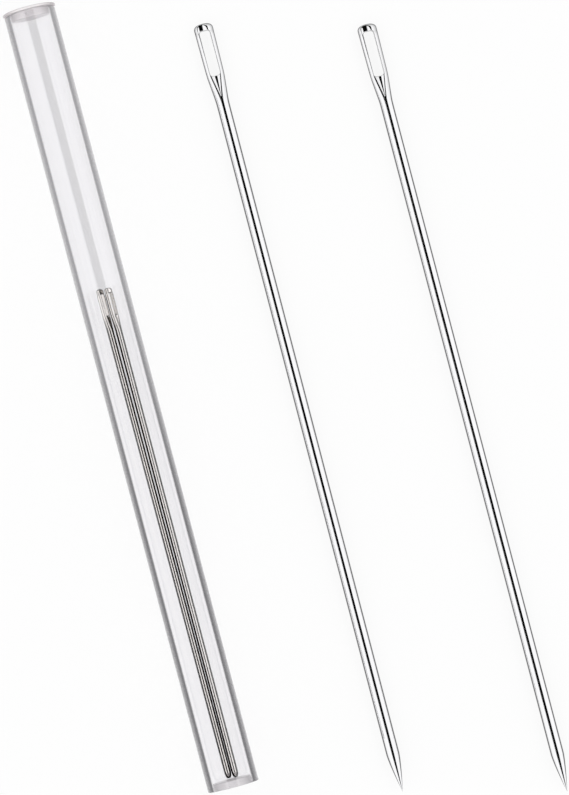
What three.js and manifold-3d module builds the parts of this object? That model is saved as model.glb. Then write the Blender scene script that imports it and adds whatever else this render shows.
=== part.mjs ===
// Upholstery needle set lying on a table: a clear tube with a foot disc and a push-in plug holds two short
// needles, and two long needles lie beside it. Millimetres, +Z up, points towards -Y and eyes towards +Y.
import * as THREE from "three";
import { mergeVertices } from "three/addons/utils/BufferGeometryUtils.js";
import Module from "manifold-3d";

// Storage tube
const TUBE_LENGTH = 203.85;
const TUBE_OUTER_DIAMETER = 13.2;
const TUBE_WALL = 1.5;
const TUBE_FOOT_ROUND = 0.6;
const TUBE_RIM_ROUND = 0.2;

// Disc bonded in the foot of the tube
const BASE_THICKNESS = 1.9;
const BASE_BOND_GAP = 0.05;
const BASE_CHAMFER = 0.3;

// Push-in plug in the mouth of the tube
const FLANGE_OVERHANG = 0.3;
const FLANGE_THICKNESS = 0.7;
const FLANGE_SEAT_GAP = 0.05;
const SKIRT_LENGTH = 1.95;
const SKIRT_CLEARANCE = 0.05;
const SKIRT_WALL = 0.8;
const SKIRT_CHAMFER = 0.3;
const PLUG_FLOOR = 0.6;

// Long needle: 8 inches of 10 gauge wire. The head, the eye and the gutters are measured from the eye end.
const LONG_NEEDLE = {
  length: 203.2,
  wireDiameter: 3.43,
  pointLength: 10,
  pointFullness: 1.3,
  pointBluntness: 1,
  headWidth: 5,
  waistWidth: 4.7,
  headThickness: 2.2,
  crownHeight: 1.5,
  bridge: 1.95,
  eyeLength: 11.9,
  eyeWidth: 2.65,
  eyeCorner: 0.7,
  neckLength: 6.65,
  gutterLength: 5.9,
  gutterWidth: 2.3,
  gutterDepth: 0.35,
};

// Short needle: about 5 inches of 15 gauge wire, of the same pattern but with a blunt point
const SHORT_NEEDLE = {
  length: 128.6,
  wireDiameter: 1.83,
  pointLength: 2.2,
  pointFullness: 2.5,
  pointBluntness: 3,
  headWidth: 2.65,
  waistWidth: 2.5,
  headThickness: 1.3,
  crownHeight: 0.8,
  bridge: 1.25,
  eyeLength: 6,
  eyeWidth: 1.45,
  eyeCorner: 0.4,
  neckLength: 3.6,
  gutterLength: 3.2,
  gutterWidth: 1.25,
  gutterDepth: 0.2,
};

// Stored needles: sideways from the tube's axis at the eye end and at the point, the gap under the point, and
// how far the flat head is turned about the needle, in degrees
const STORED_LEFT = { eyeOffset: -0.87, pointOffset: -0.58, pointGap: 0.25, turn: 55 };
const STORED_RIGHT = { eyeOffset: 1.41, pointOffset: 1.29, pointGap: 0.05, turn: 46 };
const STORED_WALL_GAP = 0.2;

// Loose needles: from the tube's axis sideways to the point, how far the point lies beyond the tube's foot, and
// the lean of the eyes away from the tube, in degrees
const LOOSE_LEFT_OFFSET = 41.33;
const LOOSE_LEFT_BEYOND_FOOT = 12.75;
const LOOSE_RIGHT_OFFSET = 81.93;
const LOOSE_RIGHT_BEYOND_FOOT = 23.51;
const LOOSE_LEAN = 0.21;

// Fullness of the needles' curves: 1 is straight, 2 is round, and more is squarer
const CROWN_FULLNESS = 2.4;
const WIRE_FULLNESS = 2;
const SLAB_FULLNESS = 3;

// Fineness of the round surfaces
const TUBE_SIDES = 32;
const WIRE_SIDES = 24;
const ROUND_STEPS = 3;
const POINT_STEPS = 6;
const NECK_STEPS = 4;
const CROWN_STEPS = 5;
const CUT_OVERLAP = 0.5;

// Sizes that follow from the ones above
const tubeRadius = TUBE_OUTER_DIAMETER / 2;
const boreRadius = tubeRadius - TUBE_WALL;
const flangeRadius = tubeRadius + FLANGE_OVERHANG;
const skirtRadius = boreRadius - SKIRT_CLEARANCE;
const flatShare = Math.cos(Math.PI / TUBE_SIDES);

const wasm = await Module();
wasm.setup();

// Closed solid for joining and cutting, from a geometry with its shared corners merged
function toSolid(geometry) {
  const bare = geometry.clone();
  bare.deleteAttribute("normal");
  bare.deleteAttribute("uv");
  const merged = mergeVertices(bare);
  return new wasm.Manifold(
    new wasm.Mesh({
      numProp: 3,
      vertProperties: new Float32Array(merged.attributes.position.array),
      triVerts: new Uint32Array(merged.index.array),
    }),
  );
}

function toGeometry(solid) {
  const mesh = solid.getMesh();
  const geometry = new THREE.BufferGeometry();
  geometry.setAttribute("position", new THREE.BufferAttribute(mesh.vertProperties, 3));
  geometry.setIndex(new THREE.BufferAttribute(mesh.triVerts, 1));
  geometry.computeVertexNormals();
  return geometry;
}

// Takes every cutter away from a body
function carve(body, cutters) {
  return toGeometry(cutters.reduce((solid, cutter) => solid.subtract(toSolid(cutter)), toSolid(body)));
}

// Revolves a profile of radius and height about Y, with a flat side underneath
function turned(profile) {
  return new THREE.LatheGeometry(profile.getPoints(ROUND_STEPS), TUBE_SIDES, Math.PI / TUBE_SIDES);
}

function tubeGeometry() {
  const profile = new THREE.Path();
  profile.moveTo(boreRadius, 0);
  profile.lineTo(tubeRadius - TUBE_FOOT_ROUND, 0);
  profile.absarc(tubeRadius - TUBE_FOOT_ROUND, TUBE_FOOT_ROUND, TUBE_FOOT_ROUND, -Math.PI / 2, 0);
  profile.lineTo(tubeRadius, TUBE_LENGTH - TUBE_RIM_ROUND);
  profile.lineTo(tubeRadius - TUBE_RIM_ROUND, TUBE_LENGTH);
  profile.lineTo(boreRadius, TUBE_LENGTH);
  profile.lineTo(boreRadius, 0);
  return turned(profile);
}

function baseGeometry() {
  const radius = boreRadius - BASE_BOND_GAP;
  const profile = new THREE.Path();
  profile.moveTo(0, 0);
  profile.lineTo(radius, 0);
  profile.lineTo(radius, BASE_THICKNESS - BASE_CHAMFER);
  profile.lineTo(radius - BASE_CHAMFER, BASE_THICKNESS);
  profile.lineTo(0, BASE_THICKNESS);
  return turned(profile);
}

// The plug's height zero is the tube's rim, so the skirt hangs below it and the flange lies above it
function plugGeometry() {
  const floorTop = PLUG_FLOOR - SKIRT_LENGTH;
  const flangeTop = FLANGE_SEAT_GAP + FLANGE_THICKNESS;
  const edgeRound = FLANGE_THICKNESS / 2;
  const cupRadius = skirtRadius - SKIRT_WALL;
  const profile = new THREE.Path();
  profile.moveTo(0, -SKIRT_LENGTH);
  profile.lineTo(skirtRadius - SKIRT_CHAMFER, -SKIRT_LENGTH);
  profile.lineTo(skirtRadius, SKIRT_CHAMFER - SKIRT_LENGTH);
  profile.lineTo(skirtRadius, FLANGE_SEAT_GAP);
  profile.lineTo(flangeRadius - edgeRound, FLANGE_SEAT_GAP);
  profile.absarc(flangeRadius - edgeRound, flangeTop - edgeRound, edgeRound, -Math.PI / 2, Math.PI / 2);
  profile.lineTo(cupRadius, flangeTop);
  profile.lineTo(cupRadius, floorTop);
  profile.lineTo(0, floorTop);
  return turned(profile);
}

// Heights along a needle, from its point
function levelsOf(needle) {
  const eyeTop = needle.length - needle.bridge;
  const eyeBottom = eyeTop - needle.eyeLength;
  return {
    eyeTop,
    eyeBottom,
    crown: needle.length - needle.crownHeight,
    neck: eyeBottom - needle.neckLength,
    gutterEnd: eyeBottom - needle.gutterLength,
  };
}

// How far the die has pressed the wire at a height: 0 on the plain wire, 1 from the bottom of the eye upwards
function pressedShare(levels, height) {
  return THREE.MathUtils.clamp((height - levels.neck) / (levels.eyeBottom - levels.neck), 0, 1);
}

function halfThicknessAt(needle, levels, height) {
  return THREE.MathUtils.lerp(needle.wireDiameter, needle.headThickness, pressedShare(levels, height)) / 2;
}

function halfWidthAt(needle, levels, height) {
  if (height <= levels.eyeBottom) {
    return THREE.MathUtils.lerp(needle.wireDiameter, needle.waistWidth, pressedShare(levels, height)) / 2;
  }
  const flare = THREE.MathUtils.inverseLerp(levels.eyeBottom, levels.crown, Math.min(height, levels.crown));
  return THREE.MathUtils.lerp(needle.waistWidth, needle.headWidth, flare) / 2;
}

// Round wire with a ground point that swells to full thickness, and a rounded crown
function wireBlank(needle, levels) {
  const radius = needle.wireDiameter / 2;
  const profile = [];
  for (let step = 0; step <= POINT_STEPS; step += 1) {
    const share = (step / POINT_STEPS) ** 2;
    const swell = (1 - (1 - share) ** needle.pointFullness) ** (1 / needle.pointBluntness);
    profile.push(new THREE.Vector2(radius * swell, needle.pointLength * share));
  }
  for (let step = 0; step <= NECK_STEPS; step += 1) {
    const height = THREE.MathUtils.lerp(levels.neck, levels.eyeBottom, step / NECK_STEPS);
    profile.push(new THREE.Vector2(radius, height));
  }
  for (let step = 0; step <= CROWN_STEPS; step += 1) {
    const share = Math.sin((Math.PI / 2) * (step / CROWN_STEPS));
    const draw = (1 - share ** CROWN_FULLNESS) ** (1 / CROWN_FULLNESS);
    profile.push(new THREE.Vector2(radius * draw, levels.crown + needle.crownHeight * share));
  }
  return new THREE.LatheGeometry(profile, WIRE_SIDES);
}

// Presses the eye end of the blank flat and wide, so that its round section becomes a slab with round sides
function stampHead(blank, needle, levels) {
  const radius = needle.wireDiameter / 2;
  const corners = blank.attributes.position;
  for (let i = 0; i < corners.count; i += 1) {
    const height = corners.getY(i);
    const angle = Math.atan2(corners.getX(i), corners.getZ(i));
    const reach = Math.hypot(corners.getX(i), corners.getZ(i)) / radius;
    const fullness = THREE.MathUtils.lerp(WIRE_FULLNESS, SLAB_FULLNESS, pressedShare(levels, height));
    const across = Math.sign(Math.sin(angle)) * Math.abs(Math.sin(angle)) ** (WIRE_FULLNESS / fullness);
    const through = Math.sign(Math.cos(angle)) * Math.abs(Math.cos(angle)) ** (WIRE_FULLNESS / fullness);
    corners.setX(i, halfWidthAt(needle, levels, height) * reach * across);
    corners.setZ(i, halfThicknessAt(needle, levels, height) * reach * through);
  }
  return blank;
}

// Punch for the eye: a slot with rounded corners, right through the head
function eyePunch(needle, levels) {
  const half = needle.eyeWidth / 2;
  const corner = needle.eyeCorner;
  const quarter = Math.PI / 2;
  const slot = new THREE.Shape();
  slot.absarc(half - corner, levels.eyeBottom + corner, corner, -quarter, 0);
  slot.absarc(half - corner, levels.eyeTop - corner, corner, 0, quarter);
  slot.absarc(corner - half, levels.eyeTop - corner, corner, quarter, 2 * quarter);
  slot.absarc(corner - half, levels.eyeBottom + corner, corner, 2 * quarter, 3 * quarter);
  const depth = needle.wireDiameter + 2 * CUT_OVERLAP;
  const punch = new THREE.ExtrudeGeometry(slot, { depth, bevelEnabled: false, curveSegments: ROUND_STEPS });
  return punch.translate(0, 0, -depth / 2);
}

// Gutter below the eye on one face: a flattened cone that runs out to a point on the wire
function neckGutter(needle, levels, face) {
  const length = needle.gutterLength + CUT_OVERLAP;
  const radius = (needle.gutterWidth / 2) * (length / needle.gutterLength);
  const startDepth = halfThicknessAt(needle, levels, levels.gutterEnd);
  const slope = Math.atan2(startDepth - needle.headThickness / 2, needle.gutterLength);
  return new THREE.ConeGeometry(radius, length, WIRE_SIDES)
    .rotateX(Math.PI)
    .translate(0, length / 2, 0)
    .scale(1, 1, needle.gutterDepth / (needle.gutterWidth / 2))
    .rotateX(-face * slope)
    .translate(0, levels.gutterEnd, face * startDepth);
}

// Gutter over the bridge on one face: a flattened groove from the eye out over the crown
function bridgeGutter(needle, levels, face) {
  const length = needle.bridge + 2 * CUT_OVERLAP;
  const radius = needle.gutterWidth / 2;
  return new THREE.CylinderGeometry(radius, radius, length, WIRE_SIDES)
    .scale(1, 1, needle.gutterDepth / radius)
    .translate(0, levels.eyeTop - CUT_OVERLAP + length / 2, (face * needle.headThickness) / 2);
}

// A needle along Y with its point at the origin and its eye facing Z
function needleGeometry(needle) {
  const levels = levelsOf(needle);
  const stamped = stampHead(wireBlank(needle, levels), needle, levels);
  const gutters = [1, -1].flatMap((face) => [
    neckGutter(needle, levels, face),
    bridgeGutter(needle, levels, face),
  ]);
  return carve(stamped, [eyePunch(needle, levels), ...gutters]);
}

// Height of a stored needle against the tube's axis, where its wire and its turned head both clear the bore
function storedHeight(needle, stored, turn) {
  const bore = boreRadius * flatShare - STORED_WALL_GAP;
  const wire = needle.wireDiameter / 2;
  const edge = needle.headThickness / 2;
  const reach = needle.headWidth / 2 - edge;
  const wireAside = Math.max(Math.abs(stored.eyeOffset), Math.abs(stored.pointOffset));
  const headAside = Math.abs(stored.eyeOffset) + reach * Math.cos(turn);
  const onWire = -Math.sqrt((bore - wire) ** 2 - wireAside ** 2);
  const onHead = reach * Math.sin(turn) - Math.sqrt((bore - edge) ** 2 - headAside ** 2);
  return Math.max(onWire, onHead);
}

function clearPlastic() {
  return new THREE.MeshStandardMaterial({
    color: 0xf0eef1,
    roughness: 0.06,
    metalness: 0,
    transparent: true,
    opacity: 0.35,
  });
}

function milkyPlastic() {
  return new THREE.MeshStandardMaterial({ color: 0xe3dfe2, roughness: 0.35, metalness: 0 });
}

function nickelSteel(color) {
  return new THREE.MeshStandardMaterial({ color, roughness: 0.14, metalness: 1 });
}

function namedMesh(name, geometry, material, x, y, z) {
  const mesh = new THREE.Mesh(geometry, material);
  mesh.name = name;
  mesh.position.set(x, y, z);
  return mesh;
}

// A stored needle is turned about its own length first, and then leaned across the bore
function storedNeedle(name, stored) {
  const seat = BASE_THICKNESS + stored.pointGap;
  const turn = THREE.MathUtils.degToRad(stored.turn);
  const lean = Math.asin((stored.pointOffset - stored.eyeOffset) / SHORT_NEEDLE.length);
  const height = storedHeight(SHORT_NEEDLE, stored, turn);
  const steel = nickelSteel(0xd9d6d2);
  const mesh = namedMesh(name, needleGeometry(SHORT_NEEDLE), steel, stored.pointOffset, seat, height);
  mesh.rotation.set(0, turn, lean, "ZYX");
  return mesh;
}

function looseNeedle(name, offset, beyondFoot) {
  const height = LONG_NEEDLE.wireDiameter / 2;
  const steel = nickelSteel(0xe4e4e6);
  const mesh = namedMesh(name, needleGeometry(LONG_NEEDLE), steel, offset, -beyondFoot, height);
  mesh.rotation.z = -THREE.MathUtils.degToRad(LOOSE_LEAN);
  return mesh;
}

// The tube lies on the rim of its plug's flange
const tube = new THREE.Group();
tube.position.z = flangeRadius * flatShare;
tube.add(
  namedMesh("storage_tube", tubeGeometry(), clearPlastic(), 0, 0, 0),
  namedMesh("base_disc", baseGeometry(), milkyPlastic(), 0, 0, 0),
  namedMesh("end_plug", plugGeometry(), milkyPlastic(), 0, TUBE_LENGTH, 0),
  storedNeedle("stored_needle_left", STORED_LEFT),
  storedNeedle("stored_needle_right", STORED_RIGHT),
);

const needleSet = new THREE.Group();
needleSet.add(
  tube,
  looseNeedle("loose_needle_left", LOOSE_LEFT_OFFSET, LOOSE_LEFT_BEYOND_FOOT),
  looseNeedle("loose_needle_right", LOOSE_RIGHT_OFFSET, LOOSE_RIGHT_BEYOND_FOOT),
);

// The origin is the middle of the footprint, on the table
const middle = new THREE.Box3().setFromObject(needleSet).getCenter(new THREE.Vector3());
needleSet.position.set(-middle.x, -middle.y, 0);

export default needleSet;
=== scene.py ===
import math
from types import SimpleNamespace

import bmesh
import bpy
import numpy as np
from mathutils import Matrix, Vector


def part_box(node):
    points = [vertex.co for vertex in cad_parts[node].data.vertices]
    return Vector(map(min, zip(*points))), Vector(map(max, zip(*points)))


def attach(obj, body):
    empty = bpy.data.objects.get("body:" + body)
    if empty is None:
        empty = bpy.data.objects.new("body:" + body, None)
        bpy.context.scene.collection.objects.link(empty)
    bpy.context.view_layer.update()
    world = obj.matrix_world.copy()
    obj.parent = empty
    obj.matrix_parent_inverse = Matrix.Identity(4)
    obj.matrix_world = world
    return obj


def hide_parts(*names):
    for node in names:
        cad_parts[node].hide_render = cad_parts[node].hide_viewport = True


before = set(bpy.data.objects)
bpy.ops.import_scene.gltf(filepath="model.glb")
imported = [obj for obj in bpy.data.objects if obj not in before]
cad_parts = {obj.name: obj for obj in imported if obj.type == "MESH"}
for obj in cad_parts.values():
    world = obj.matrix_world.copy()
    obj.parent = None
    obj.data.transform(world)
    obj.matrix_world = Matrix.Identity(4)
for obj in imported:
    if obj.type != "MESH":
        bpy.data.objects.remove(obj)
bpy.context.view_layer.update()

MM = 0.001

# Storage tube, foot disc and plug, with the sizes of the solids
TUBE_RADIUS = 6.6 * MM
TUBE_WALL = 1.5 * MM
TUBE_FOOT_ROUND = 0.6 * MM
TUBE_RIM_ROUND = 0.2 * MM
BORE_RADIUS = TUBE_RADIUS - TUBE_WALL
BOND_GAP = 0.05 * MM
DISC_EDGE_ROUND = 0.3 * MM
DISC_FOOT_ROUND = DISC_EDGE_ROUND / 3
FLANGE_OVERHANG = 0.3 * MM
FLANGE_THICKNESS = 0.7 * MM
FLANGE_EDGE_ROUND = FLANGE_THICKNESS * 0.45
SEAT_CORNER_ROUND = 0.05 * MM
SKIRT_CLEARANCE = 0.05 * MM
SKIRT_WALL = 0.8 * MM
SKIRT_EDGE_ROUND = 0.3 * MM
CUP_RIM_ROUND = 0.2 * MM
CUP_FLOOR_ROUND = 0.25 * MM
PLUG_FLOOR = 0.6 * MM

# Fineness of the round meshes, and how far past each rounded corner a ring keeps the shading true
TURNED_SIDES = 128
ROUND_STEPS = 6
CORNER_GUARD = 1.08

# Number of the outer corner at the foot, in the section that the tube is swept from
FOOT_OUTER_CORNER = 3

# Clear tube: its tints, darker at the mouth than at the foot as painted shade along it, the heights along Y
# between which the mouth's tint turns into the foot's, the tints of its die lines and its shadow, and how
# clear and how square its sawn ends are
MOUTH_TINT = (0.9, 0.895, 0.903)
FOOT_TINT = (0.95, 0.945, 0.954)
BORE_TINT = (0.97, 0.967, 0.973)
TINT_TURN = (0.06, -0.02)
DIE_LINE_TINT = (0.97, 0.968, 0.978)
SHADOW_TINT = (0.975, 0.973, 0.977)
TUBE_IOR = 1.6
SAWN_CLEARNESS = 0.5
SAWN_SQUARENESS = 0.9

# Light has passed one face when it leaves the wall alone, and three after the bore: a bound between
FACES_IN_WALL = 1.5

# Painted shade: tints of the light that the bore throws back, so that it stays in the wall, by its slant
# there; they paint dark lines along the wall, darker at the foot than at the mouth
MOUTH_WALL_PAINTED_SHADE = (
    (0.0, (0.9, 0.895, 0.903)),
    (0.105, (0.9, 0.895, 0.903)),
    (0.131, (0.165, 0.16, 0.17)),
    (0.1435, (0.097, 0.094, 0.101)),
    (0.1615, (0.14, 0.136, 0.145)),
    (0.178, (0.21, 0.206, 0.216)),
    (0.2, (0.28, 0.275, 0.286)),
    (0.214, (0.4, 0.395, 0.406)),
    (0.2195, (0.9, 0.895, 0.903)),
)
FOOT_WALL_PAINTED_SHADE = (
    (0.0, (0.95, 0.945, 0.954)),
    (0.105, (0.95, 0.945, 0.954)),
    (0.131, (0.06, 0.058, 0.063)),
    (0.1435, (0.011, 0.0105, 0.012)),
    (0.1615, (0.036, 0.035, 0.038)),
    (0.178, (0.075, 0.072, 0.079)),
    (0.2, (0.12, 0.117, 0.125)),
    (0.214, (0.25, 0.246, 0.256)),
    (0.2195, (0.9, 0.895, 0.904)),
)

# Milky plastic: the shades of its cloudiness, and its painted shade from a square look to a slant one,
# which darkens its sides; the disc is darker than the plug in both
PLUG_SHADES = ((0.95, 0.915, 0.93), (1.0, 0.965, 0.975))
DISC_SHADES = ((0.9, 0.88, 0.89), (0.97, 0.95, 0.96))
PLUG_PAINTED_SHADE = (
    (0.0, (1.0, 1.0, 1.0)),
    (0.1, (0.97, 0.965, 0.965)),
    (0.42, (0.62, 0.605, 0.61)),
    (0.6, (0.5, 0.485, 0.495)),
    (0.75, (0.58, 0.565, 0.575)),
    (1.0, (0.7, 0.685, 0.695)),
)
DISC_PAINTED_SHADE = (
    (0.0, (1.0, 1.0, 1.0)),
    (0.09, (0.75, 0.74, 0.745)),
    (0.42, (0.47, 0.46, 0.47)),
    (0.6, (0.44, 0.43, 0.44)),
    (0.75, (0.54, 0.53, 0.54)),
    (1.0, (0.7, 0.69, 0.7)),
)

# Polished steel: the shades of its fine marks, and how strongly its very rim throws light back, weakly on
# the stored needles so that their outlines darken
BRIGHT_SHADES = ((0.72, 0.72, 0.73), (0.8, 0.8, 0.81))
WARM_SHADES = ((0.78, 0.75, 0.715), (0.86, 0.83, 0.795))
BRIGHT_RIM = 1.0
WARM_RIM = 0.25

# Painted sheen of polished steel: the share of its colour kept from a square look to a slant one, whose
# dark bands paint its edge lines
BRIGHT_WIRE_PAINTED_SHEEN = ((0.0, 1.0), (0.37, 1.0), (0.42, 0.12), (0.58, 0.12), (0.66, 0.4), (1.0, 0.55))
BRIGHT_HEAD_PAINTED_SHEEN = (
    (0.0, 1.0), (0.07, 1.0), (0.16, 0.72), (0.34, 0.4), (0.55, 0.14), (0.68, 0.4), (1.0, 0.55),
)
WARM_WIRE_PAINTED_SHEEN = (
    (0.0, 0.8), (0.03, 0.9), (0.05, 1.0), (0.095, 1.0), (0.14, 0.2),
    (0.175, 0.01), (0.85, 0.01), (0.94, 0.4), (1.0, 0.5),
)
WARM_HEAD_PAINTED_SHEEN = (
    (0.0, 1.0), (0.2, 1.0), (0.34, 0.5), (0.44, 0.3), (0.5, 0.02), (0.78, 0.02), (0.9, 0.4), (1.0, 0.5),
)

# Needle curves: 1 is straight, 2 is round, and more is squarer
CROWN_FULLNESS = 2.4
WIRE_FULLNESS = 2.0
SLAB_FULLNESS = 3.0

# Hollow over the bridge, in shares of the wire's radius: its depth, lowest line, bend there and slopes
BRIDGE_DEPTH = 0.27
BRIDGE_LOW_LINE = -0.53
BRIDGE_BEND = 0.38
BRIDGE_GENTLE_SLOPE = 0.28
BRIDGE_STEEP_SLOPE = 0.6

# How much sharper the crease beside that hollow is than the one beside a gutter
BRIDGE_SHARPNESS = 0.8

# Least shares of a full width, at the crown's tip and at the gutter's end, so that none is zero
TIP_LEAST = 1e-4
GUTTER_LEAST = 1e-3

# Camera over the set, near the points' half, with the set leaning in the picture
CAMERA_PLACE = Vector((-31.99, -35.29, 1063.2)) * MM
CAMERA_AIM = Vector((-1.26, 1.67, 3.0)) * MM
CAMERA_LEAN = math.radians(14.846)
LENS_MM = 188.08
SENSOR_MM = 36

# Share of the table's white that stays in the shadows
TABLE_GLOW = 0.88

# White room, and a dark card over the set: its middle from straight up, half sizes and soft edge in degrees
ROOM_STRENGTH = 1.28
CARD_SHADE = (0.003, 0.003, 0.003)
CARD_SIDEWAYS = 0.0
CARD_LENGTHWAYS = 5.0
CARD_HALF_WIDTH = 21.8
CARD_HALF_LENGTH = 36.0
CARD_SOFT_EDGE = 1.2

# Span that most of a noise's values fall in
NOISE_LOW = 0.3
NOISE_HIGH = 0.7

# Corners of a mesh closer together than this are joined: in a mesh laid out here, and in a swept one
LAID_WELD = 1e-8
SWEPT_WELD = 1e-7


def needle_pattern(point_fullness, point_bluntness, **sizes):
    """Sizes of a needle in metres, with the heights along it from its point, and the curve of the point."""
    n = SimpleNamespace(**{name: size * MM for name, size in sizes.items()})
    n.point_fullness = point_fullness
    n.point_bluntness = point_bluntness
    n.radius = n.wire / 2
    n.eye_top = n.length - n.bridge
    n.eye_bottom = n.eye_top - n.eye_length
    n.crown_start = n.length - n.crown_height
    n.neck_bottom = n.eye_bottom - n.neck_length
    n.gutter_end = n.eye_bottom - n.gutter_length
    n.wire_top = n.neck_bottom - n.neck_length / 2
    n.softness = n.wire / 4
    n.edge_round = n.eye_width / 18
    return n


LONG_NEEDLE = needle_pattern(
    point_fullness=1.3, point_bluntness=1.0, length=203.2, wire=3.43, point_length=10, head_width=5,
    waist_width=4.7, head_thickness=2.2, crown_height=1.5, bridge=1.95, eye_length=11.9, eye_width=2.65,
    eye_corner=0.7, neck_length=6.65, gutter_length=5.9, gutter_width=2.3, gutter_depth=0.35,
)
SHORT_NEEDLE = needle_pattern(
    point_fullness=2.5, point_bluntness=3.0, length=128.6, wire=1.83, point_length=2.2, head_width=2.65,
    waist_width=2.5, head_thickness=1.3, crown_height=0.8, bridge=1.25, eye_length=6, eye_width=1.45,
    eye_corner=0.4, neck_length=3.6, gutter_length=3.2, gutter_width=1.25, gutter_depth=0.2,
)

# Stored needles: sideways from the tube's axis at the eye and at the point, and the turn of the flat head
STORED_LEFT = SimpleNamespace(eye_offset=-0.87 * MM, point_offset=-0.58 * MM, turn=math.radians(55))
STORED_RIGHT = SimpleNamespace(eye_offset=1.41 * MM, point_offset=1.29 * MM, turn=math.radians(46))

# Lean of the loose needles' eyes away from the tube
LOOSE_LEAN = math.radians(0.21)

# Fineness of a needle's mesh, with rows that crowd towards the eye and a lane that narrows down the neck
LIMB_STEPS = 22
LIMB_ACROSS = 44
CORNER_STEPS = 8
EYE_END_STEPS = 8
SHOULDER_POINTS = 12
CROWN_POINTS = 80
NECK_STEPS = 44
NECK_CROWDING = 1.4
LANE_LEAST = 0.2
EYE_WALL_STEPS = 6
WIRE_STEPS = 12
POINT_STEPS = 24
EDGE_SHARES = np.array([0.134, 0.5, 1.0])


def soft_ramp(t, softness):
    """Nothing before zero and t after it, with a rounded corner between."""
    return (t + np.sqrt(t * t + softness * softness)) / 2


def soft_least(a, b, softness):
    """The lesser of two heights, with the crease between them rounded."""
    return (a + b - np.sqrt((a - b) ** 2 + softness**2)) / 2


def pressed_share(n, y):
    """How far the wire is pressed flat: 0 on the plain wire, 1 from the bottom of the eye upwards."""
    rise = soft_ramp(y - n.neck_bottom, n.softness) - soft_ramp(y - n.eye_bottom, n.softness)
    return rise / n.neck_length


def crown_draw(n, y):
    """How much of the head's section is left at a height in the rounded crown."""
    share = np.clip((y - n.crown_start) / n.crown_height, 0, 1)
    return (1 - share**CROWN_FULLNESS) ** (1 / CROWN_FULLNESS)


def half_width(n, y):
    """Half the width of the wire, neck or head at a height."""
    rise = soft_ramp(y - n.eye_bottom, n.softness) - soft_ramp(y - n.crown_start, n.softness)
    flare = rise / (n.crown_start - n.eye_bottom)
    to_waist = (n.waist_width / 2 - n.radius) * pressed_share(n, y)
    to_head = (n.head_width - n.waist_width) / 2 * flare
    return n.radius + to_waist + to_head


def half_thickness(n, y):
    """Half the thickness of the wire, neck or head at a height, before the gutters."""
    return n.radius + (n.head_thickness / 2 - n.radius) * pressed_share(n, y)


def outside_eye(n, x, y):
    """Distance from the edge of the eye, which is a slot with rounded corners."""
    middle = (n.eye_top + n.eye_bottom) / 2
    across = np.abs(x) - (n.eye_width / 2 - n.eye_corner)
    along = np.abs(y - middle) - (n.eye_length / 2 - n.eye_corner)
    return np.hypot(np.maximum(across, 0), np.maximum(along, 0)) - n.eye_corner


def bridge_share(n, y):
    """How far a height is on the bridge: 0 down the limbs, 1 from the top of the eye upwards."""
    rise = np.clip((y - n.eye_top) / (n.eye_width / 2) + 1, 0, 1)
    return rise * rise * (3 - 2 * rise)


def bridge_dip(n, x):
    """Depth of the hollow over the bridge, which is steep on one side and gentle on the other."""
    aside = x / n.radius - BRIDGE_LOW_LINE
    slope = np.where(aside > 0, BRIDGE_GENTLE_SLOPE, BRIDGE_STEEP_SLOPE)
    return n.radius * (BRIDGE_DEPTH - slope * (np.hypot(aside, BRIDGE_BEND) - BRIDGE_BEND))


def face_height(n, x, y):
    """Height of a needle's upper face: a pressed slab with a gutter, a hollow and a round eye edge."""
    draw = crown_draw(n, y)
    width = np.maximum(half_width(n, y) * draw, n.radius * TIP_LEAST)
    bridge = bridge_share(n, y)
    fullness = WIRE_FULLNESS + (SLAB_FULLNESS - WIRE_FULLNESS) * pressed_share(n, y) * (1 - bridge)
    across = np.clip(np.abs(x) / width, 0, 1)
    slab = half_thickness(n, y) * draw * (1 - across**fullness) ** (1 / fullness)
    run = np.clip((y - n.gutter_end) / n.gutter_length, GUTTER_LEAST, 1)
    in_neck = n.gutter_depth * run * (1 - (x / (n.gutter_width / 2 * run)) ** 2)
    dip = np.where(y < (n.eye_top + n.eye_bottom) / 2, in_neck, bridge_dip(n, x) * bridge)
    crease = n.edge_round / 2 * run * (1 - BRIDGE_SHARPNESS * bridge)
    grooved = np.maximum(soft_least(slab, half_thickness(n, y) - dip, crease), 0)
    edge = n.edge_round - np.clip(outside_eye(n, x, y), 0, n.edge_round)
    return grooved - (n.edge_round - np.sqrt(n.edge_round**2 - edge**2))


def arc(centre, radius, start_deg, end_deg, steps):
    """Points on an arc, both ends included."""
    angles = np.radians(np.linspace(start_deg, end_deg, steps + 1))
    return np.stack([centre[0] + radius * np.cos(angles), centre[1] + radius * np.sin(angles)], axis=1)


def along_line(points, shares):
    """Points at shares of the length of a polyline."""
    steps = np.hypot(*np.diff(points, axis=0).T)
    length = np.concatenate([[0], np.cumsum(steps)])
    return np.stack([np.interp(shares * length[-1], length, points[:, k]) for k in range(2)], axis=1)


def length_shares(points):
    """How far along a polyline each of its points is, as a share of its length."""
    length = np.concatenate([[0], np.cumsum(np.hypot(*np.diff(points, axis=0).T))])
    return length / length[-1]


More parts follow.
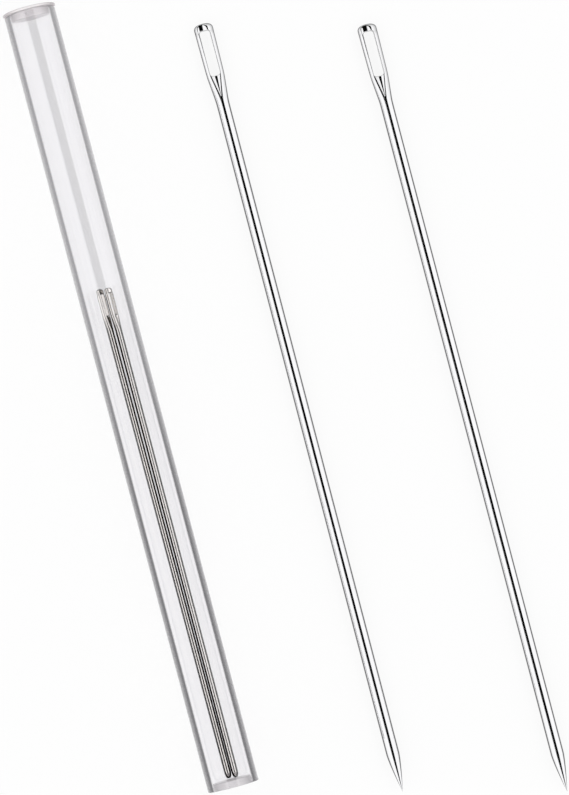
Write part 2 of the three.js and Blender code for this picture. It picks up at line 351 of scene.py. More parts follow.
def eye_rim_over(n):
    """Eye edge from the lower right over to the lower left, with the outline point that faces each."""
    half = n.eye_width / 2
    inner = half - n.eye_corner
    low, high = n.eye_bottom + n.eye_corner, n.eye_top - n.eye_corner
    side = np.stack([np.full(LIMB_STEPS + 1, half), np.linspace(low, high, LIMB_STEPS + 1)], axis=1)
    right_corner = arc((inner, high), n.eye_corner, 0, 90, CORNER_STEPS)
    leftward = np.linspace(inner, -inner, EYE_END_STEPS + 1)
    end = np.stack([leftward, np.full(EYE_END_STEPS + 1, n.eye_top)], axis=1)
    left_corner = arc((-inner, high), n.eye_corner, 90, 180, CORNER_STEPS)
    over = np.concatenate([right_corner, end[1:], left_corner[1:]])
    rising = np.linspace(high, n.crown_start, SHOULDER_POINTS)
    turn = np.sin(np.linspace(0, math.pi / 2, CROWN_POINTS)) ** (2 / CROWN_FULLNESS)
    heights = np.concatenate([rising, n.crown_start + n.crown_height * turn[1:]])
    shoulder = np.stack([half_width(n, heights) * crown_draw(n, heights), heights], axis=1)
    outline = np.concatenate([shoulder, shoulder[-2::-1] * (-1, 1)])
    side_faces = np.stack([half_width(n, side[:, 1]), side[:, 1]], axis=1)
    over_faces = along_line(outline, length_shares(over))
    rim = np.concatenate([side, over[1:-1], side[::-1] * (-1, 1)])
    faces = np.concatenate([side_faces, over_faces[1:-1], side_faces[::-1] * (-1, 1)])
    return rim, faces


def eye_rim_under(n):
    """Eye edge under the eye, from the lower right corner to the lower left one, both ends left out."""
    inner = n.eye_width / 2 - n.eye_corner
    low = n.eye_bottom + n.eye_corner
    right_corner = arc((inner, low), n.eye_corner, 0, -90, CORNER_STEPS)
    end = np.linspace(inner, -inner, EYE_END_STEPS + 1)[1:]
    straight = np.stack([end, np.full(EYE_END_STEPS, n.eye_bottom)], axis=1)
    left_corner = arc((-inner, low), n.eye_corner, -90, -180, CORNER_STEPS)
    return np.concatenate([right_corner[1:], straight, left_corner[1:-1]])


def limb_points(n):
    """Plan of the limbs and the bridge: lines from the eye edge out to the outline."""
    rim, faces = eye_rim_over(n)
    reach = np.hypot(*(faces - rim).T)[:, None]
    wide = np.sin(np.linspace(0, math.pi / 2, LIMB_ACROSS + 1))[None, 1:]
    near = np.concatenate([[0], EDGE_SHARES])[None, :] * n.edge_round
    away = np.concatenate([near + 0 * reach, n.edge_round + (reach - n.edge_round) * wide], axis=1)
    return rim[:, None, :] + (faces - rim)[:, None, :] * (away / reach)[:, :, None]


def gutter_lane(n, y):
    """Half the width of the lane of mesh that follows the gutter down the neck."""
    run = np.maximum(y - n.gutter_end, 0) / n.gutter_length
    return n.gutter_width / 2 * np.hypot(run, LANE_LEAST)


def neck_points(n, top):
    """Plan of the neck: lines from the row of points over it, down to the plain wire."""
    fall = (top[:, 1] - n.wire_top)[None, :]
    near = EDGE_SHARES[:, None] * n.edge_round
    step = np.linspace(0, 1, NECK_STEPS + 1)[1:, None] ** NECK_CROWDING
    down = np.concatenate([0 * fall, near + 0 * fall, n.edge_round + (fall - n.edge_round) * step])
    y = top[None, :, 1] - down
    lane_top = gutter_lane(n, top[:, 1])[None, :]
    lane = gutter_lane(n, y)
    x = np.abs(top[None, :, 0])
    in_lane = x / lane_top * lane
    margin_top = half_width(n, top[:, 1])[None, :] - lane_top
    beside = lane + (x - lane_top) / margin_top * (half_width(n, y) - lane)
    return np.stack([np.sign(top[None, :, 0]) * np.where(x > lane_top, beside, in_lane), y], axis=2)


class MeshMaker:
    """Collects the corners and faces of one mesh."""

    def __init__(self):
        self.corners = []
        self.faces = []

    def add(self, points):
        """Adds an array of points and gives back their numbers in the same layout."""
        flat = points.reshape(-1, 3)
        first = len(self.corners)
        self.corners.extend(map(tuple, flat))
        return np.arange(first, first + len(flat)).reshape(points.shape[:-1])

    def skin(self, grid, closed=False):
        """Quads over a grid of corner numbers. A closed grid joins its last column to its first."""
        if closed:
            grid = np.concatenate([grid, grid[:, :1]], axis=1)
        quads = np.stack([grid[:-1, :-1], grid[:-1, 1:], grid[1:, 1:], grid[1:, :-1]], axis=-1)
        self.faces.extend(map(tuple, quads.reshape(-1, 4).tolist()))

    def cap(self, ring, tip):
        """Triangles from a closed ring of corner numbers to one point."""
        apex = int(self.add(np.array([tip], float))[0])
        self.faces.extend((int(a), int(b), apex) for a, b in zip(ring, np.roll(ring, -1)))

    def finish(self, name, place):
        """A smooth mesh with its faces outwards, put in its place."""
        mesh = bpy.data.meshes.new(name)
        mesh.from_pydata(self.corners, [], self.faces)
        mesh.transform(place)
        shell = bmesh.new()
        shell.from_mesh(mesh)
        bmesh.ops.remove_doubles(shell, verts=shell.verts, dist=LAID_WELD)
        bmesh.ops.recalc_face_normals(shell, faces=shell.faces)
        for face in shell.faces:
            face.smooth = True
        shell.to_mesh(mesh)
        shell.free()
        return mesh


def mark_head(mesh, n, place):
    """Writes on each corner of a needle how far the wire is pressed there."""
    back = place.inverted()
    along = np.array([(back @ corner.co).y for corner in mesh.vertices])
    mark = mesh.attributes.new("pressed", "FLOAT", "POINT")
    mark.data.foreach_set("value", np.clip(pressed_share(n, along), 0, 1).astype(np.float32))


def both_faces(maker, n, plan, on_outline, upper_start=None, lower_start=None):
    """Lifts a plan onto the upper and the lower face, sharing the corners that lie on the outline."""
    height = np.where(on_outline, 0, face_height(n, plan[..., 0], plan[..., 1]))
    upper = maker.add(np.stack([plan[..., 0], plan[..., 1], height], axis=-1))
    lower = maker.add(np.stack([plan[..., 0], plan[..., 1], -height], axis=-1))
    lower = np.where(on_outline, upper, lower)
    if upper_start is not None:
        upper = np.concatenate([upper_start[None, :], upper])
        lower = np.concatenate([lower_start[None, :], lower])
    maker.skin(upper)
    maker.skin(lower)
    return upper, lower


def needle_mesh(name, n, place):
    """A needle along Y from its ground point at the origin, with stamped head, punched eye and gutters."""
    maker = MeshMaker()
    limbs = limb_points(n)
    on_outline = np.zeros(limbs.shape[:2], bool)
    on_outline[:, -1] = True
    limb_up, limb_low = both_faces(maker, n, limbs, on_outline)

    under = eye_rim_under(n)
    rim_height = face_height(n, under[:, 0], under[:, 1])
    under_up = maker.add(np.column_stack([under, rim_height]))
    under_low = maker.add(np.column_stack([under, -rim_height]))
    top = np.concatenate([limbs[0, ::-1], under, limbs[-1]])
    top_up = np.concatenate([limb_up[0, ::-1], under_up, limb_up[-1]])
    top_low = np.concatenate([limb_low[0, ::-1], under_low, limb_low[-1]])
    neck = neck_points(n, top)[1:]
    on_outline = np.zeros(neck.shape[:2], bool)
    on_outline[:, [0, -1]] = True
    neck_up, neck_low = both_faces(maker, n, neck, on_outline, top_up, top_low)

    rim_up = np.concatenate([limb_up[:, 0], under_up[::-1]])
    rim_low = np.concatenate([limb_low[:, 0], under_low[::-1]])
    corners = np.array(maker.corners)
    shares = np.linspace(0, 1, EYE_WALL_STEPS + 1)[1:-1, None, None]
    inner = maker.add(corners[rim_up][None] * (1 - shares) + corners[rim_low][None] * shares)
    maker.skin(np.concatenate([rim_up[None], inner, rim_low[None]]), closed=True)

    ring = np.concatenate([neck_up[-1], neck_low[-1, -2:0:-1]])
    section = np.array(maker.corners)[ring][None]
    share = np.linspace(1, 0, POINT_STEPS + 1)[1:-1] ** 2
    point = (1 - (1 - share) ** n.point_fullness) ** (1 / n.point_bluntness)
    plain = n.point_length + (n.wire_top - n.point_length) * np.linspace(1, 0, WIRE_STEPS + 1)[1:] ** 2
    heights = np.concatenate([plain, n.point_length * share])
    swell = np.concatenate([np.ones(WIRE_STEPS), point])
    rows = np.broadcast_to(section, (len(heights), *section.shape[1:])).copy()
    rows[..., 0] *= swell[:, None]
    rows[..., 1] = heights[:, None]
    rows[..., 2] *= swell[:, None]
    wire = maker.add(rows)
    maker.skin(np.concatenate([ring[None], wire]), closed=True)
    maker.cap(wire[-1], (0, 0, 0))
    mesh = maker.finish(name, place)
    mark_head(mesh, n, place)
    return mesh


def rounded_profile(points):
    """Outline of radius and height from (radius, height, corner round) points, with round corners as arcs.

    A point close beside each arc keeps the smooth shading of the straight runs true.
    """
    flat = np.array([p[:2] for p in points])
    line = [flat[0]]
    for before, (x, y, bend), after in zip(flat, points[1:-1], flat[2:]):
        corner = np.array((x, y))
        inward, outward = before - corner, after - corner
        inward, outward = inward / np.hypot(*inward), outward / np.hypot(*outward)
        half = math.acos(np.clip(inward @ outward, -1, 1)) / 2
        if bend == 0:
            line.append(corner)
            continue
        middle = inward + outward
        centre = corner + middle / np.hypot(*middle) * bend / math.sin(half)
        reach = bend / math.tan(half)
        start = corner + inward * reach - centre
        end = corner + outward * reach - centre
        line.append(corner + inward * reach * CORNER_GUARD)
        for share in np.linspace(0, 1, ROUND_STEPS + 1):
            spoke = start * (1 - share) + end * share
            line.append(centre + spoke / np.hypot(*spoke) * bend)
        line.append(corner + outward * reach * CORNER_GUARD)
    line.append(flat[-1])
    return np.array(line)


def turned_mesh(name, profile, place):
    """A profile that starts and ends on the axis, turned about Y."""
    maker = MeshMaker()
    angles = np.arange(TURNED_SIDES) / TURNED_SIDES * 2 * math.pi
    rows = profile[1:-1]
    rings = np.stack(
        [
            rows[:, :1] * np.cos(angles)[None],
            np.repeat(rows[:, 1:], TURNED_SIDES, axis=1),
            rows[:, :1] * np.sin(angles)[None],
        ],
        axis=-1,
    )
    grid = maker.add(rings)
    maker.skin(grid, closed=True)
    maker.cap(grid[0], (0, profile[0, 1], 0))
    maker.cap(grid[-1], (0, profile[-1, 1], 0))
    return maker.finish(name, place)


def node(tree, kind, **settings):
    """A new node with its settings, and its inputs by name in `inputs`."""
    made = tree.nodes.new(kind)
    for name, value in settings.pop("inputs", {}).items():
        made.inputs[name].default_value = value
    for name, value in settings.items():
        setattr(made, name, value)
    return made


def tube_wall_tree():
    """Geometry nodes: a rounded wall section swept round the tube's axis, and laid along Y."""
    tree = bpy.data.node_groups.new("swept tube wall", "GeometryNodeTree")
    face = tree.interface
    for label, kind in (
        ("Mean Radius", "NodeSocketFloat"),
        ("Wall", "NodeSocketFloat"),
        ("Length", "NodeSocketFloat"),
        ("Foot Round", "NodeSocketFloat"),
        ("Rim Round", "NodeSocketFloat"),
        ("Sides", "NodeSocketInt"),
        ("Round Steps", "NodeSocketInt"),
        ("Middle", "NodeSocketVector"),
        ("Material", "NodeSocketMaterial"),
    ):
        face.new_socket(label, in_out="INPUT", socket_type=kind)
    face.new_socket("Geometry", in_out="OUTPUT", socket_type="NodeSocketGeometry")
    given = node(tree, "NodeGroupInput").outputs
    link = tree.links.new

    path = node(tree, "GeometryNodeCurvePrimitiveCircle", mode="RADIUS")
    link(given["Sides"], path.inputs["Resolution"])
    link(given["Mean Radius"], path.inputs["Radius"])

    section = node(tree, "GeometryNodeCurvePrimitiveQuadrilateral", mode="RECTANGLE")
    link(given["Wall"], section.inputs["Width"])
    link(given["Length"], section.inputs["Height"])

    corner = node(tree, "GeometryNodeInputIndex")
    at_foot = node(tree, "FunctionNodeCompare", data_type="INT", operation="EQUAL")
    at_foot.inputs[3].default_value = FOOT_OUTER_CORNER
    link(corner.outputs[0], at_foot.inputs[2])
    bend = node(tree, "GeometryNodeSwitch", input_type="FLOAT")
    link(at_foot.outputs[0], bend.inputs["Switch"])
    link(given["Rim Round"], bend.inputs["False"])
    link(given["Foot Round"], bend.inputs["True"])
    rounded = node(tree, "GeometryNodeFilletCurve", mode="POLY")
    link(section.outputs["Curve"], rounded.inputs["Curve"])
    link(given["Round Steps"], rounded.inputs["Count"])
    link(bend.outputs[0], rounded.inputs["Radius"])

    sweep = node(tree, "GeometryNodeCurveToMesh")
    link(path.outputs["Curve"], sweep.inputs["Curve"])
    link(rounded.outputs["Curve"], sweep.inputs["Profile Curve"])
    smooth = node(tree, "GeometryNodeSetShadeSmooth")
    link(sweep.outputs["Mesh"], smooth.inputs["Geometry"])
    laid = node(tree, "GeometryNodeTransform", inputs={"Rotation": (-math.pi / 2, 0, 0)})
    link(smooth.outputs["Geometry"], laid.inputs["Geometry"])
    link(given["Middle"], laid.inputs["Translation"])
    real = node(tree, "GeometryNodeRealizeInstances")
    link(laid.outputs["Geometry"], real.inputs["Geometry"])
    dressed = node(tree, "GeometryNodeSetMaterial")
    link(real.outputs["Geometry"], dressed.inputs["Geometry"])
    link(given["Material"], dressed.inputs["Material"])
    link(dressed.outputs["Geometry"], node(tree, "NodeGroupOutput").inputs["Geometry"])
    return tree


def grown_mesh(name, tree, sizes):
    """Plain mesh of a geometry node tree with these sizes."""
    seed = bpy.data.objects.new(name + "_seed", bpy.data.meshes.new(name + "_seed"))
    bpy.context.scene.collection.objects.link(seed)
    modifier = seed.modifiers.new("Grow", "NODES")
    modifier.node_group = tree
    for socket in tree.interface.items_tree:
        if socket.in_out == "INPUT":
            modifier[socket.identifier] = sizes[socket.name]
    evaluated = seed.evaluated_get(bpy.context.evaluated_depsgraph_get())
    mesh = bpy.data.meshes.new_from_object(evaluated)
    mesh.name = name
    seed.modifiers.clear()
    bpy.data.objects.remove(seed)
    shell = bmesh.new()
    shell.from_mesh(mesh)
    bmesh.ops.remove_doubles(shell, verts=shell.verts, dist=SWEPT_WELD)
    bmesh.ops.recalc_face_normals(shell, faces=shell.faces)
    shell.to_mesh(mesh)
    shell.free()
    return mesh


def cut_rings(mesh, heights):
    """Cuts a mesh round at heights along Y, so that long faces keep true shading up to rounded ends."""
    shell = bmesh.new()
    shell.from_mesh(mesh)
    for height in heights:
        everything = shell.verts[:] + shell.edges[:] + shell.faces[:]
        bmesh.ops.bisect_plane(shell, geom=everything, plane_co=(0, height, 0), plane_no=(0, 1, 0))
    shell.to_mesh(mesh)
    shell.free()


def material(name):
    """A new node material and its Principled shader."""
    made = bpy.data.materials.new(name)
    made.use_nodes = True
    return made, made.node_tree, made.node_tree.nodes["Principled BSDF"]


def streaks(tree, across, along, detail):
    """Noise drawn out along Y, as drawing and polishing marks are."""
    place = node(tree, "ShaderNodeTexCoord")
    stretch = node(tree, "ShaderNodeMapping", inputs={"Scale": (across, along, across)})
    noise = node(tree, "ShaderNodeTexNoise", inputs={"Scale": 1.0, "Detail": detail, "Roughness": 0.6})
    tree.links.new(place.outputs["Object"], stretch.inputs["Vector"])
    tree.links.new(stretch.outputs["Vector"], noise.inputs["Vector"])
    return noise.outputs["Fac"]


def spread(tree, value, low, high):
    """A noise value spread over a range."""
    spans = {"From Min": NOISE_LOW, "From Max": NOISE_HIGH, "To Min": low, "To Max": high}
    mapped = node(tree, "ShaderNodeMapRange", inputs=spans)
    tree.links.new(value, mapped.inputs["Value"])
    return mapped.outputs["Result"]


def tones(tree, value, dark, light):
    """A noise value as a blend of two colours."""
    ramp = node(tree, "ShaderNodeValToRGB")
    ramp.color_ramp.elements[0].position = NOISE_LOW
    ramp.color_ramp.elements[1].position = NOISE_HIGH
    ramp.color_ramp.elements[0].color = (*dark, 1)
    ramp.color_ramp.elements[1].color = (*light, 1)
    tree.links.new(value, ramp.inputs["Fac"])
    return ramp.outputs["Color"]


def by_slant(tree, stops):
    """Colours from a square look to a slant one, used here as painted shade and painted sheen."""
    slant = node(tree, "ShaderNodeLayerWeight")
    ramp = node(tree, "ShaderNodeValToRGB")
    elements = ramp.color_ramp.elements
    while len(elements) < len(stops):
        elements.new(0.5)
    for element, (position, colour) in zip(elements, stops):
        element.position = position
        element.color = (*colour, 1)
    tree.links.new(slant.outputs["Facing"], ramp.inputs["Fac"])
    return ramp.outputs["Color"]


def times(tree, first, second):
    """One colour weakened by another."""
    made = node(tree, "ShaderNodeMix", data_type="RGBA", blend_type="MULTIPLY", inputs={"Factor": 1.0})
    tree.links.new(first, made.inputs["A"])
    tree.links.new(second, made.inputs["B"])
    return made.outputs["Result"]


def bumped(tree, shader, value, height, strength):
    """A bump of a real height from a noise value."""
    bump = node(tree, "ShaderNodeBump", inputs={"Distance": height, "Strength": strength})
    tree.links.new(value, bump.inputs["Height"])
    tree.links.new(bump.outputs["Normal"], shader.inputs["Normal"])


def blend(tree, share, first, second):
    """One colour turning into another."""
    made = node(tree, "ShaderNodeMix", data_type="RGBA")
    tree.links.new(share, made.inputs["Factor"])
    tree.links.new(first, made.inputs["A"])
    tree.links.new(second, made.inputs["B"])
    return made.outputs["Result"]


def calculate(tree, operation, *values):
    """A math node over numbers and the outputs of other nodes."""
    made = node(tree, "ShaderNodeMath", operation=operation)
    for socket, value in zip(made.inputs, values):
        if isinstance(value, (int, float)):
            socket.default_value = value
        else:
            tree.links.new(value, socket)
    return made.outputs[0]


def two_looks(tree, share, first, second):
    """One shader turning into another."""
    mixed = node(tree, "ShaderNodeMixShader")
    tree.links.new(share, mixed.inputs[0])
    tree.links.new(first.outputs[0], mixed.inputs[1])
    tree.links.new(second.outputs[0], mixed.inputs[2])
    return mixed.outputs[0]


def greys(sheen):
    """Stops of a painted sheen as colours."""
    return [(slant, (share, share, share)) for slant, share in sheen]


def nickel_steel(name, shades, wire_painted_sheen, head_painted_sheen, rim):
    """Polished plated wire with fine marks along it, and painted sheen by slant: one for the wire and one
    for the pressed head.
    """
    made, tree, shader = material(name)
    shader.inputs["Metallic"].default_value = 1.0
    shader.inputs["Specular Tint"].default_value = (rim, rim, rim, 1)
    marks = streaks(tree, across=9000.0, along=60.0, detail=3.0)
    wire = by_slant(tree, greys(wire_painted_sheen))
    head = by_slant(tree, greys(head_painted_sheen))
    pressed = node(tree, "ShaderNodeAttribute", attribute_name="pressed")
    sheen = blend(tree, pressed.outputs["Fac"], wire, head)
    tree.links.new(times(tree, sheen, tones(tree, marks, *shades)), shader.inputs["Base Color"])
    tree.links.new(spread(tree, marks, low=0.02, high=0.06), shader.inputs["Roughness"])
    bumped(tree, shader, marks, height=0.002 * MM, strength=0.1)
    return made


def through_wall_alone(tree):
    """1 where light leaves the wall without having been in the bore, and 0 elsewhere."""
    path = node(tree, "ShaderNodeLightPath")
    side = node(tree, "ShaderNodeNewGeometry")
    in_wall = calculate(tree, "LESS_THAN", path.outputs["Transmission Depth"], FACES_IN_WALL)
    return calculate(tree, "MULTIPLY", side.outputs["Backfacing"], in_wall)


def clear_plastic(name, mouth_tint, foot_tint, painted_wall_shade=None):
    """Clear tube with faint die lines, and with painted shade of its own for light through the wall alone.
    """
    made, tree, shader = material(name)
    shader.inputs["Transmission Weight"].default_value = 1.0
    shader.inputs["IOR"].default_value = TUBE_IOR
    lines = streaks(tree, across=1500.0, along=4.0, detail=2.0)
    faint = tones(tree, lines, DIE_LINE_TINT, (1.0, 1.0, 1.0))
    place = node(tree, "ShaderNodeTexCoord")
    axes = node(tree, "ShaderNodeSeparateXYZ")
    tree.links.new(place.outputs["Object"], axes.inputs[0])
    start, end = TINT_TURN
    footward = node(tree, "ShaderNodeMapRange", inputs={"From Min": start, "From Max": end})
    footward.interpolation_type = "SMOOTHSTEP"
    tree.links.new(axes.outputs["Y"], footward.inputs["Value"])
    mouth, foot = (node(tree, "ShaderNodeRGB") for _ in range(2))
    mouth.outputs[0].default_value = (*mouth_tint, 1)
    foot.outputs[0].default_value = (*foot_tint, 1)
    tint = blend(tree, footward.outputs["Result"], mouth.outputs[0], foot.outputs[0])
    if painted_wall_shade:
        wall = blend(tree, footward.outputs["Result"], *(by_slant(tree, tints) for tints in painted_wall_shade))
        tint = blend(tree, through_wall_alone(tree), tint, wall)
    tree.links.new(times(tree, tint, faint), shader.inputs["Base Color"])
    tree.links.new(spread(tree, lines, low=0.0, high=0.02), shader.inputs["Roughness"])
    let_light_through(tree, shader, SHADOW_TINT)
    return made


def sawn_plastic(name, tint, clearness):
    """Clear plastic with a satin skin on its outer side, as a saw leaves it."""
    made = clear_plastic(name, tint, tint)
    tree = made.node_tree
    side = node(tree, "ShaderNodeNewGeometry")
    clear = node(tree, "ShaderNodeMapRange", inputs={"To Min": clearness})
    tree.links.new(side.outputs["Backfacing"], clear.inputs["Value"])
    tree.links.new(clear.outputs["Result"], tree.nodes["Principled BSDF"].inputs["Transmission Weight"])
    return made


def let_light_through(tree, shader, tint):
    """Lets light reach what is behind a clear piece, a little weakened."""
    path = node(tree, "ShaderNodeLightPath")
    passing = calculate(tree, "MAXIMUM", path.outputs["Is Shadow Ray"], path.outputs["Is Diffuse Ray"])
    clear = node(tree, "ShaderNodeBsdfTransparent", inputs={"Color": (*tint, 1)})
    look = two_looks(tree, passing, shader, clear)
    tree.links.new(look, tree.nodes["Material Output"].inputs["Surface"])


def milky_plastic(name, shades, tints):
    """Soft moulded plastic that light passes through, with a satin skin and painted shade that darkens it
    at a slant look.
    """
    made, tree, shader = material(name)
    shader.inputs["Transmission Weight"].default_value = 0.06
    shader.inputs["IOR"].default_value = 1.5
    place = node(tree, "ShaderNodeTexCoord")
    cloud = node(tree, "ShaderNodeTexNoise", inputs={"Scale": 900.0, "Detail": 4.0, "Roughness": 0.55})
    tree.links.new(place.outputs["Object"], cloud.inputs["Vector"])
    colour = times(tree, tones(tree, cloud.outputs["Fac"], *shades), by_slant(tree, tints))
    tree.links.new(colour, shader.inputs["Base Color"])
    tree.links.new(spread(tree, cloud.outputs["Fac"], low=0.25, high=0.42), shader.inputs["Roughness"])
    bumped(tree, shader, cloud.outputs["Fac"], height=0.01 * MM, strength=0.2)
    return made


def piece(name, mesh, finish, body):
    """Adds a finished piece that stands for the solid of the same name."""
    made = bpy.data.objects.new(name + "_finish", mesh)
    bpy.context.scene.collection.objects.link(made)
    mesh.materials.clear()
    mesh.materials.append(finish)
    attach(made, body)
    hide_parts(name)


def loose_place(name):
    """Where a loose needle's point lies, from its solid's box, which the leaned head fills across."""
    low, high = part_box(name)
    lean_across = LONG_NEEDLE.length * math.sin(LOOSE_LEAN)
    point = Vector(((low.x + high.x) / 2 - lean_across, low.y, (low.z + high.z) / 2))
    return Matrix.Translation(point) @ Matrix.Rotation(-LOOSE_LEAN, 4, "Z")


def stored_place(name, stored):
    """Where a stored needle's point lies in the bore, with its head turned and the needle leaned across."""
    low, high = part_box(name)
    foot, _ = tube_axis()
    point = Vector((foot.x + stored.point_offset, low.y, (low.z + high.z) / 2))
    lean = math.asin((stored.point_offset - stored.eye_offset) / SHORT_NEEDLE.length)
    return Matrix.Translation(point) @ Matrix.Rotation(lean, 4, "Z") @ Matrix.Rotation(stored.turn, 4, "Y")


def make_needles():
    """Two long needles beside the tube and two short ones in it."""
    bright = nickel_steel("bright_steel", BRIGHT_SHADES, BRIGHT_WIRE_PAINTED_SHEEN, BRIGHT_HEAD_PAINTED_SHEEN, BRIGHT_RIM)
    warm = nickel_steel("warm_steel", WARM_SHADES, WARM_WIRE_PAINTED_SHEEN, WARM_HEAD_PAINTED_SHEEN, WARM_RIM)
    for name, body in (("loose_needle_left", "loose_left"), ("loose_needle_right", "loose_right")):
        mesh = needle_mesh(name, LONG_NEEDLE, loose_place(name))
        piece(name, mesh, bright, body)
    for name, body, stored in (
        ("stored_needle_left", "stored_left", STORED_LEFT),
        ("stored_needle_right", "stored_right", STORED_RIGHT),
    ):
        mesh = needle_mesh(name, SHORT_NEEDLE, stored_place(name, stored))
        piece(name, mesh, warm, body)


def tube_axis():
    """Middle of the tube's foot, and the tube's length."""
    low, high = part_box("storage_tube")
    return Vector(((low.x + high.x) / 2, low.y, (low.z + high.z) / 2)), high.y - low.y


def make_tube():
    """The clear tube, with materials of their own for its bore and its sawn ends."""
    foot, length = tube_axis()
    # Painted shade: dark lines along the tube's wall, darker towards the foot
    painted_wall_shade = (MOUTH_WALL_PAINTED_SHADE, FOOT_WALL_PAINTED_SHADE)
    outside = clear_plastic("clear_plastic_outside", MOUTH_TINT, FOOT_TINT, painted_wall_shade)
    bore = clear_plastic("clear_plastic_bore", BORE_TINT, BORE_TINT)
    sawn = sawn_plastic("clear_plastic_sawn", BORE_TINT, SAWN_CLEARNESS)
    sizes = {
        "Mean Radius": TUBE_RADIUS - TUBE_WALL / 2,
        "Wall": TUBE_WALL,
        "Length": length,
        "Foot Round": TUBE_FOOT_ROUND,
        "Rim Round": TUBE_RIM_ROUND,
        "Sides": TURNED_SIDES,
        "Round Steps": ROUND_STEPS,
        "Middle": foot + Vector((0, length / 2, 0)),
        "Material": outside,
    }
    mesh = grown_mesh("storage_tube", tube_wall_tree(), sizes)
    past_bore_edge = TUBE_RIM_ROUND * CORNER_GUARD
    past_foot_edge = TUBE_FOOT_ROUND * CORNER_GUARD
    cut_rings(mesh, [foot.y + past_bore_edge, foot.y + past_foot_edge, foot.y + length - past_bore_edge])
    piece("storage_tube", mesh, outside, "tube")
    mesh.materials.append(bore)
    mesh.materials.append(sawn)
    bore_index = mesh.materials.find(bore.name)
    sawn_index = mesh.materials.find(sawn.name)
    for face in mesh.polygons:
        away = face.center - foot
        if abs(face.normal.y) > SAWN_SQUARENESS:
            face.material_index = sawn_index
        elif math.hypot(away.x, away.z) < TUBE_RADIUS - TUBE_RIM_ROUND / 2:
            face.material_index = bore_index


def make_base_disc():
    """The milky disc in the foot of the tube."""
    foot, _ = tube_axis()
    low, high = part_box("base_disc")
    radius = BORE_RADIUS - BOND_GAP
    thickness = high.y - low.y
    profile = rounded_profile(
        [
            (0, 0, 0),
            (radius, 0, DISC_FOOT_ROUND),
            (radius, thickness, DISC_EDGE_ROUND),
            (0, thickness, 0),
        ]
    )
    finish = milky_plastic("milky_disc", DISC_SHADES, DISC_PAINTED_SHADE)
    mesh = turned_mesh("base_disc", profile, Matrix.Translation(foot))
    piece("base_disc", mesh, finish, "tube")


def make_end_plug():
    """The milky plug in the mouth of the tube, with a skirt, a flange and a hollow top."""
    foot, _ = tube_axis()
    low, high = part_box("end_plug")
    skirt = BORE_RADIUS - SKIRT_CLEARANCE
    flange = TUBE_RADIUS + FLANGE_OVERHANG
    cup = skirt - SKIRT_WALL
    depth = high.y - low.y
    seat = depth - FLANGE_THICKNESS
    profile = rounded_profile(
        [
            (0, 0, 0),
            (skirt, 0, SKIRT_EDGE_ROUND),
            (skirt, seat, SEAT_CORNER_ROUND),
            (flange, seat, FLANGE_EDGE_ROUND),
            (flange, depth, FLANGE_EDGE_ROUND),
            (cup, depth, CUP_RIM_ROUND),
            (cup, PLUG_FLOOR, CUP_FLOOR_ROUND),
            (0, PLUG_FLOOR, 0),
        ]
    )
    finish = milky_plastic("milky_plug", PLUG_SHADES, PLUG_PAINTED_SHADE)
    place = Matrix.Translation((foot.x, low.y, foot.z))
    piece("end_plug", turned_mesh("end_plug", profile, place), finish, "plug")


def make_camera():
    """A long lens over the table, leaned so that the set stands in the picture as in the photograph."""
    back = (CAMERA_PLACE - CAMERA_AIM).normalized()
    along = Vector((0, 1, 0))
    straight_up = (along - back * back.dot(along)).normalized()
    straight_right = straight_up.cross(back)
    up = straight_up * math.cos(CAMERA_LEAN) + straight_right * math.sin(CAMERA_LEAN)
    right = straight_right * math.cos(CAMERA_LEAN) - straight_up * math.sin(CAMERA_LEAN)
    lens = bpy.data.cameras.new("camera")
    lens.lens = LENS_MM
    lens.sensor_width = SENSOR_MM
    lens.clip_start = 0.05
    lens.clip_end = 20.0
    camera = bpy.data.objects.new("camera", lens)
    camera.matrix_world = Matrix.Translation(CAMERA_PLACE) @ Matrix((right, up, back)).transposed().to_4x4()
    bpy.context.scene.collection.objects.link(camera)
    bpy.context.scene.camera = camera


def make_floor():
    """A white table, whose own white shows through most of the shadows."""
    mesh = bpy.data.meshes.new("floor")
    reach = 12.0
    below = -0.05 * MM
    corners = ((-reach, -reach), (reach, -reach), (reach, reach), (-reach, reach))
    mesh.from_pydata([(x, y, below) for x, y in corners], [], [(0, 1, 2, 3)])
    floor = bpy.data.objects.new("floor", mesh)
    bpy.context.scene.collection.objects.link(floor)
    made, tree, shader = material("white_table")
    shader.inputs["Base Color"].default_value = (0.97, 0.97, 0.97, 1)
    shader.inputs["Roughness"].default_value = 0.9
    shader.inputs["Specular IOR Level"].default_value = 0.1
    path = node(tree, "ShaderNodeLightPath")
    seen = calculate(tree, "MAXIMUM", path.outputs["Is Camera Ray"], path.outputs["Is Glossy Ray"])
    seen = calculate(tree, "MAXIMUM", seen, path.outputs["Is Transmission Ray"])
    glow = calculate(tree, "MULTIPLY", seen, TABLE_GLOW)
    white = node(tree, "ShaderNodeEmission", inputs={"Color": (1, 1, 1, 1), "Strength": 1.0})
    look = two_looks(tree, glow, shader, white)
    tree.links.new(look, tree.nodes["Material Output"].inputs["Surface"])
    mesh.materials.append(made)


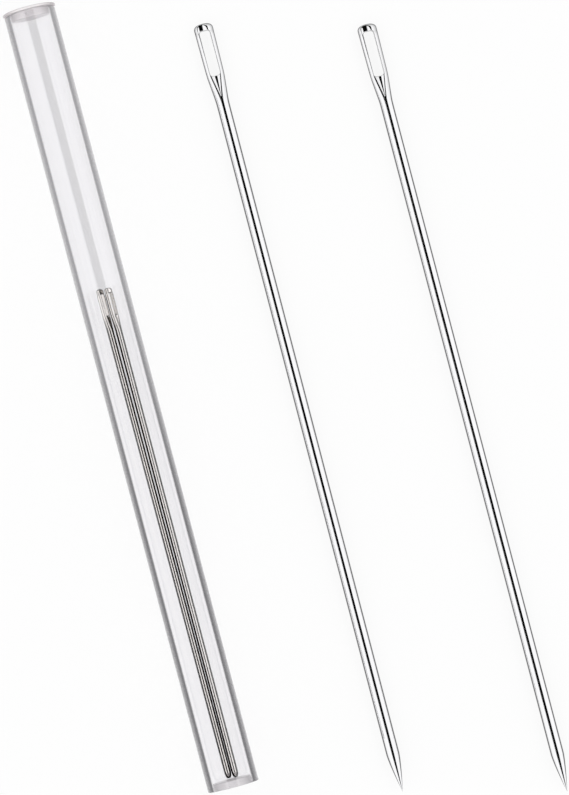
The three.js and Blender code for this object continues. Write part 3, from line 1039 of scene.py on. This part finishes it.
def make_studio():
    """A white room with a dark card overhead, which draws the fine dark line along polished wire."""
    world = bpy.data.worlds.new("studio")
    bpy.context.scene.world = world
    world.use_nodes = True
    tree = world.node_tree
    tree.nodes.clear()
    link = tree.links.new
    where = node(tree, "ShaderNodeTexCoord")
    axes = node(tree, "ShaderNodeSeparateXYZ")
    link(where.outputs["Generated"], axes.inputs[0])

    def card_share(axis, middle, half):
        """1 in the directions within half an angle of the card's middle, and 0 beyond its soft edge."""
        angle = calculate(tree, "ARCTAN2", axes.outputs[axis], axes.outputs["Z"])
        aside = calculate(tree, "SUBTRACT", angle, math.radians(middle))
        made = node(tree, "ShaderNodeMapRange", interpolation_type="SMOOTHSTEP")
        made.inputs["From Min"].default_value = math.radians(half - CARD_SOFT_EDGE)
        made.inputs["From Max"].default_value = math.radians(half + CARD_SOFT_EDGE)
        made.inputs["To Min"].default_value = 1.0
        made.inputs["To Max"].default_value = 0.0
        link(calculate(tree, "ABSOLUTE", aside), made.inputs["Value"])
        return made.outputs["Result"]

    width = card_share("X", CARD_SIDEWAYS, CARD_HALF_WIDTH)
    length = card_share("Y", CARD_LENGTHWAYS, CARD_HALF_LENGTH)
    card = calculate(tree, "MULTIPLY", width, length)
    colours = node(tree, "ShaderNodeMix", data_type="RGBA")
    colours.inputs["A"].default_value = (1.0, 1.0, 1.0, 1)
    colours.inputs["B"].default_value = (*CARD_SHADE, 1)
    link(card, colours.inputs["Factor"])
    light = node(tree, "ShaderNodeBackground", inputs={"Strength": ROOM_STRENGTH})
    link(colours.outputs["Result"], light.inputs["Color"])
    plain = node(tree, "ShaderNodeBackground", inputs={"Color": (1, 1, 1, 1), "Strength": 1.0})
    path = node(tree, "ShaderNodeLightPath")
    look = two_looks(tree, path.outputs["Is Camera Ray"], light, plain)
    link(look, node(tree, "ShaderNodeOutputWorld").inputs["Surface"])


make_camera()
make_needles()
make_tube()
make_base_disc()
make_end_plug()
make_floor()
make_studio()
bpy.context.scene.view_settings.view_transform = "Standard"
